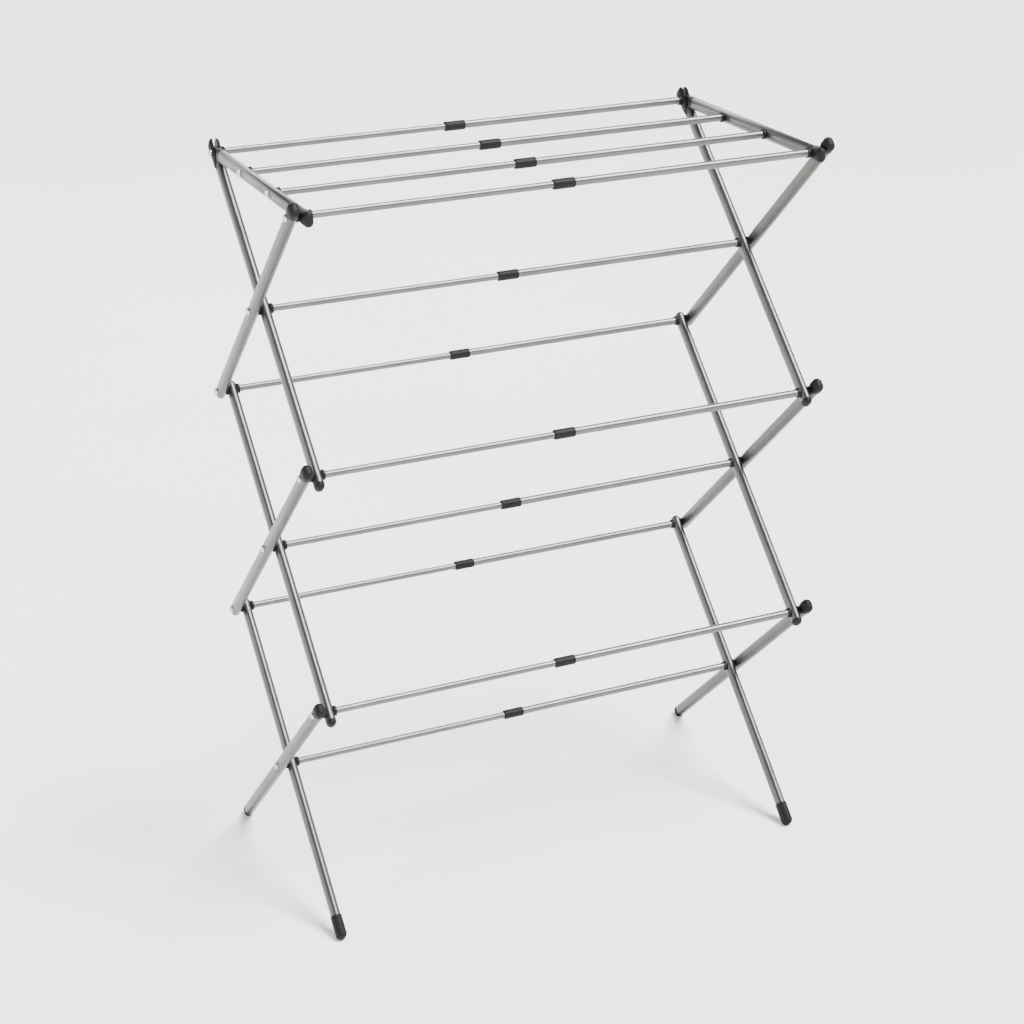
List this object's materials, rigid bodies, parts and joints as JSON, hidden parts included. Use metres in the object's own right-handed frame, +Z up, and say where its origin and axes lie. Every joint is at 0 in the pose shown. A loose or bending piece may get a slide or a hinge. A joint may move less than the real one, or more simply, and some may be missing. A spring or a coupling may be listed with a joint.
{
  "type": "clothes drying rack",
  "caption": "Free-standing folding clothes drying rack: telescoping steel rods between two scissor end frames, with a hinged hanging deck on top and black plastic feet and caps.",
  "frame": {"origin": "on the floor below the crossing pivots, half way between the end frames. The hooks reach further forward than the hinge caps reach back, so the middle of the box's base is 3.4 mm in front of it", "axes": "+Z up, +X to the right along the rods, +Y to the back, where the deck is hinged"},
  "size_m": [0.7614, 0.4012, 1.0475],
  "materials": {
    "painted_tube": "satin silver-grey paint on thin oval steel tube",
    "rod_tube": "bright drawn steel tube",
    "black_plastic": "moulded black plastic",
    "zinc_screw": "zinc plated"
  },
  "bodies": {
    "base_rod": {"base_rod_outer": "rod_tube", "base_rod_fittings_right": "black_plastic", "base_screw_right": "zinc_screw"},
    "lower_inner_right": {"lower_inner_leg_right": "painted_tube", "lower_inner_foot_right": "black_plastic", "lower_back_rod_outer": "rod_tube", "lower_back_rod_fittings_right": "black_plastic", "lower_back_screw_right": "zinc_screw"},
    "lower_outer_right": {"lower_outer_leg_right": "painted_tube", "lower_outer_cap_and_foot_right": "black_plastic"},
    "middle_inner_right": {"middle_inner_leg_right": "painted_tube", "middle_rods_outer": "rod_tube", "middle_rod_fittings_right": "black_plastic", "middle_screws_right": "zinc_screw"},
    "middle_outer_right": {"middle_outer_leg_right": "painted_tube", "middle_outer_cap_right": "black_plastic"},
    "upper_inner_right": {"upper_inner_leg_right": "painted_tube", "upper_rods_outer": "rod_tube", "upper_rod_fittings_right": "black_plastic", "upper_screws_right": "zinc_screw", "hinge_cap_right": "black_plastic"},
    "upper_outer_right": {"upper_outer_leg_right": "painted_tube", "upper_outer_cap_right": "black_plastic", "front_rod_outer": "rod_tube", "front_rod_fittings_right": "black_plastic", "front_rod_screw_right": "zinc_screw"},
    "deck_right": {"deck_rail_right": "painted_tube", "deck_rail_fittings_right": "black_plastic", "deck_rods_outer": "rod_tube", "deck_rod_fittings_right": "black_plastic", "deck_screws_right": "zinc_screw"},
    "lower_inner_left": {"lower_inner_leg_left": "painted_tube", "lower_inner_foot_left": "black_plastic", "lower_rods_inner": "rod_tube", "lower_rod_fittings_left": "black_plastic", "lower_screws_left": "zinc_screw"},
    "lower_outer_left": {"lower_outer_leg_left": "painted_tube", "lower_outer_cap_and_foot_left": "black_plastic"},
    "middle_inner_left": {"middle_inner_leg_left": "painted_tube", "middle_rods_inner": "rod_tube", "middle_rod_fittings_left": "black_plastic", "middle_screws_left": "zinc_screw"},
    "middle_outer_left": {"middle_outer_leg_left": "painted_tube", "middle_outer_cap_left": "black_plastic"},
    "upper_inner_left": {"upper_inner_leg_left": "painted_tube", "upper_rods_inner": "rod_tube", "upper_rod_fittings_left": "black_plastic", "upper_screws_left": "zinc_screw", "hinge_cap_left": "black_plastic"},
    "upper_outer_left": {"upper_outer_leg_left": "painted_tube", "upper_outer_cap_left": "black_plastic", "front_rod_inner": "rod_tube", "front_rod_fittings_left": "black_plastic", "front_rod_screw_left": "zinc_screw"},
    "deck_left": {"deck_rail_left": "painted_tube", "deck_rail_fittings_left": "black_plastic", "deck_rods_inner": "rod_tube", "deck_rod_fittings_left": "black_plastic", "deck_screws_left": "zinc_screw"}
  },
  "joints": [
    {"name": "fold", "type": "hinge", "parent": "base_rod", "child": "lower_inner_right", "pos_m": [0, 0, 0.183], "axis": [1, 0, 0], "range_deg": [0, 39]},
    {"name": "lower_cross", "type": "hinge", "parent": "base_rod", "child": "lower_outer_right", "pos_m": [0, 0, 0.183], "axis": [1, 0, 0], "range_deg": [-39, 0]},
    {"name": "lower_back_pivot", "type": "hinge", "parent": "lower_inner_right", "child": "middle_outer_right", "pos_m": [0, 0.179, 0.35174], "axis": [1, 0, 0], "range_deg": [-78, 0]},
    {"name": "lower_front_pivot", "type": "hinge", "parent": "lower_outer_right", "child": "middle_inner_right", "pos_m": [0, -0.179, 0.35174], "axis": [1, 0, 0], "range_deg": [0, 78]},
    {"name": "middle_back_pivot", "type": "hinge", "parent": "middle_inner_right", "child": "upper_outer_right", "pos_m": [0, 0.179, 0.68924], "axis": [1, 0, 0], "range_deg": [-78, 0]},
    {"name": "middle_front_pivot", "type": "hinge", "parent": "middle_outer_right", "child": "upper_inner_right", "pos_m": [0, -0.179, 0.68924], "axis": [1, 0, 0], "range_deg": [0, 78]},
    {"name": "deck_lift", "type": "hinge", "parent": "upper_inner_right", "child": "deck_right", "pos_m": [0, 0.179, 1.02673], "axis": [1, 0, 0], "range_deg": [-129, 0]},
    {"name": "width", "type": "slide", "parent": "lower_inner_right", "child": "lower_inner_left", "axis": [1, 0, 0], "range_m": [0, 0.318]},
    {"name": "lower_outer_slide", "type": "slide", "parent": "lower_outer_right", "child": "lower_outer_left", "axis": [1, 0, 0], "range_m": [0, 0.318]},
    {"name": "middle_inner_slide", "type": "slide", "parent": "middle_inner_right", "child": "middle_inner_left", "axis": [1, 0, 0], "range_m": [0, 0.318]},
    {"name": "middle_outer_slide", "type": "slide", "parent": "middle_outer_right", "child": "middle_outer_left", "axis": [1, 0, 0], "range_m": [0, 0.318]},
    {"name": "upper_inner_slide", "type": "slide", "parent": "upper_inner_right", "child": "upper_inner_left", "axis": [1, 0, 0], "range_m": [0, 0.318]},
    {"name": "upper_outer_slide", "type": "slide", "parent": "upper_outer_right", "child": "upper_outer_left", "axis": [1, 0, 0], "range_m": [0, 0.318]},
    {"name": "deck_slide", "type": "slide", "parent": "deck_right", "child": "deck_left", "axis": [1, 0, 0], "range_m": [0, 0.318]}
  ],
  "couplings": [
    {"joint": "lower_cross", "follows": "fold", "ratio": -1},
    {"joint": "lower_back_pivot", "follows": "fold", "ratio": -2},
    {"joint": "lower_front_pivot", "follows": "fold", "ratio": 2},
    {"joint": "middle_back_pivot", "follows": "fold", "ratio": -2},
    {"joint": "middle_front_pivot", "follows": "fold", "ratio": 2},
    {"joint": "deck_lift", "follows": "fold", "ratio": -3.3077},
    {"joint": "lower_outer_slide", "follows": "width", "ratio": 1},
    {"joint": "middle_inner_slide", "follows": "width", "ratio": 1},
    {"joint": "middle_outer_slide", "follows": "width", "ratio": 1},
    {"joint": "upper_inner_slide", "follows": "width", "ratio": 1},
    {"joint": "upper_outer_slide", "follows": "width", "ratio": 1},
    {"joint": "deck_slide", "follows": "width", "ratio": 1}
  ]
}
